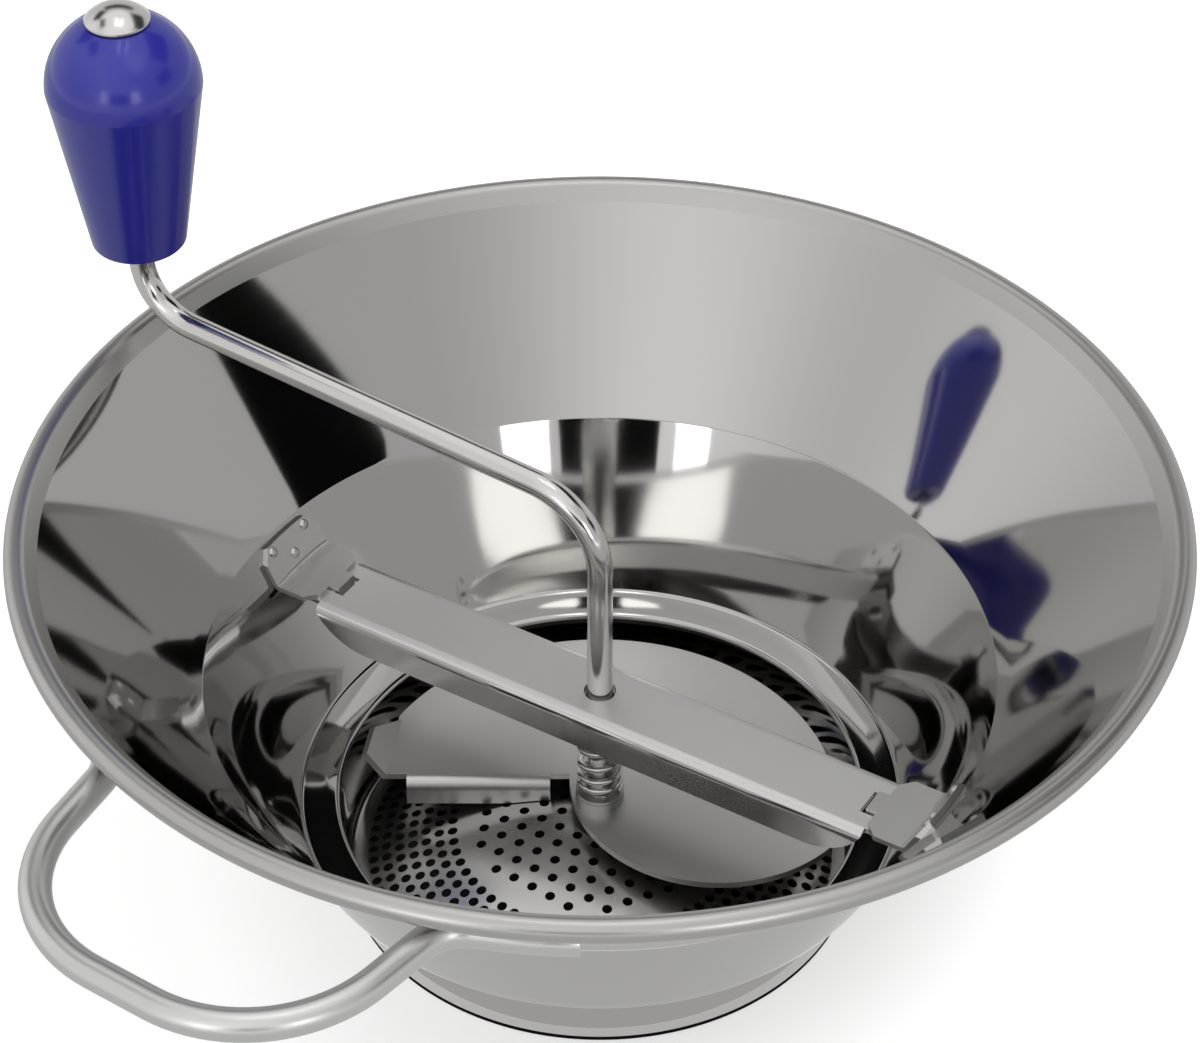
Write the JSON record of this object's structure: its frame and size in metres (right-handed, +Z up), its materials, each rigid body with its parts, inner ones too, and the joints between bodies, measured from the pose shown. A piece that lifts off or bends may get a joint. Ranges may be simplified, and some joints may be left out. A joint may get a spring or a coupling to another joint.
{
  "type": "food mill",
  "caption": "Hand-cranked steel food mill: flared bowl with a domed perforated floor, sprung crossbar, bent crank with a blue knob, sweeping blade and a wire carrying handle.",
  "frame": {"origin": "middle of the base ring the bowl stands on", "axes": "+Z up along the shaft, +Y away from the carrying handle, +X along the crossbar with the crank arm resting over -X"},
  "size_m": [0.324, 0.3536, 0.231],
  "materials": {
    "bowl_steel": "spun and polished stainless steel",
    "wire_steel": "satin drawn stainless wire",
    "bracket_steel": "pressed stainless sheet",
    "sieve_steel": "polished perforated stainless sheet",
    "bar_steel": "satin pressed stainless sheet",
    "washer_steel": "plain steel",
    "spring_steel": "bright spring wire",
    "rod_steel": "polished round rod",
    "blade_steel": "polished pressed sheet",
    "knob_blue": "glossy moulded royal blue",
    "cap_chrome": "polished domed cap"
  },
  "bodies": {
    "bowl": {"bowl": "bowl_steel", "handle": "wire_steel", "bracket_right": "bracket_steel", "bracket_left": "bracket_steel", "bracket_rivets": "bracket_steel", "sieve": "sieve_steel", "spring": "spring_steel"},
    "crossbar": {"crossbar": "bar_steel", "spring_top_washer": "washer_steel"},
    "spring_seat": {"spring_seat": "washer_steel"},
    "crank": {"crank_rod": "rod_steel", "blade": "blade_steel", "blade_hub": "rod_steel", "blade_washer": "washer_steel", "knob_cap": "cap_chrome", "knob_stop_ring": "washer_steel"},
    "knob": {"knob": "knob_blue", "knob_washer": "washer_steel"}
  },
  "joints": [
    {"name": "crossbar_press", "type": "slide", "parent": "bowl", "child": "crossbar", "axis": [0, 0, 1], "range_m": [-0.006, 0], "stiffness_N_per_m": 900, "springref_m": 0.012, "deforming": ["spring"]},
    {"name": "blade_lift", "type": "slide", "parent": "bowl", "child": "spring_seat", "axis": [0, 0, 1], "range_m": [0, 0.006], "stiffness_N_per_m": 900, "springref_m": -0.012, "deforming": ["spring"]},
    {"name": "crank_spin", "type": "hinge", "parent": "spring_seat", "child": "crank", "pos_m": [0, 0, 0.021], "axis": [0, 0, 1], "continuous": true},
    {"name": "knob_spin", "type": "hinge", "parent": "crank", "child": "knob", "pos_m": [-0.148, 0, 0.19], "axis": [0, 0, 1], "continuous": true}
  ]
}
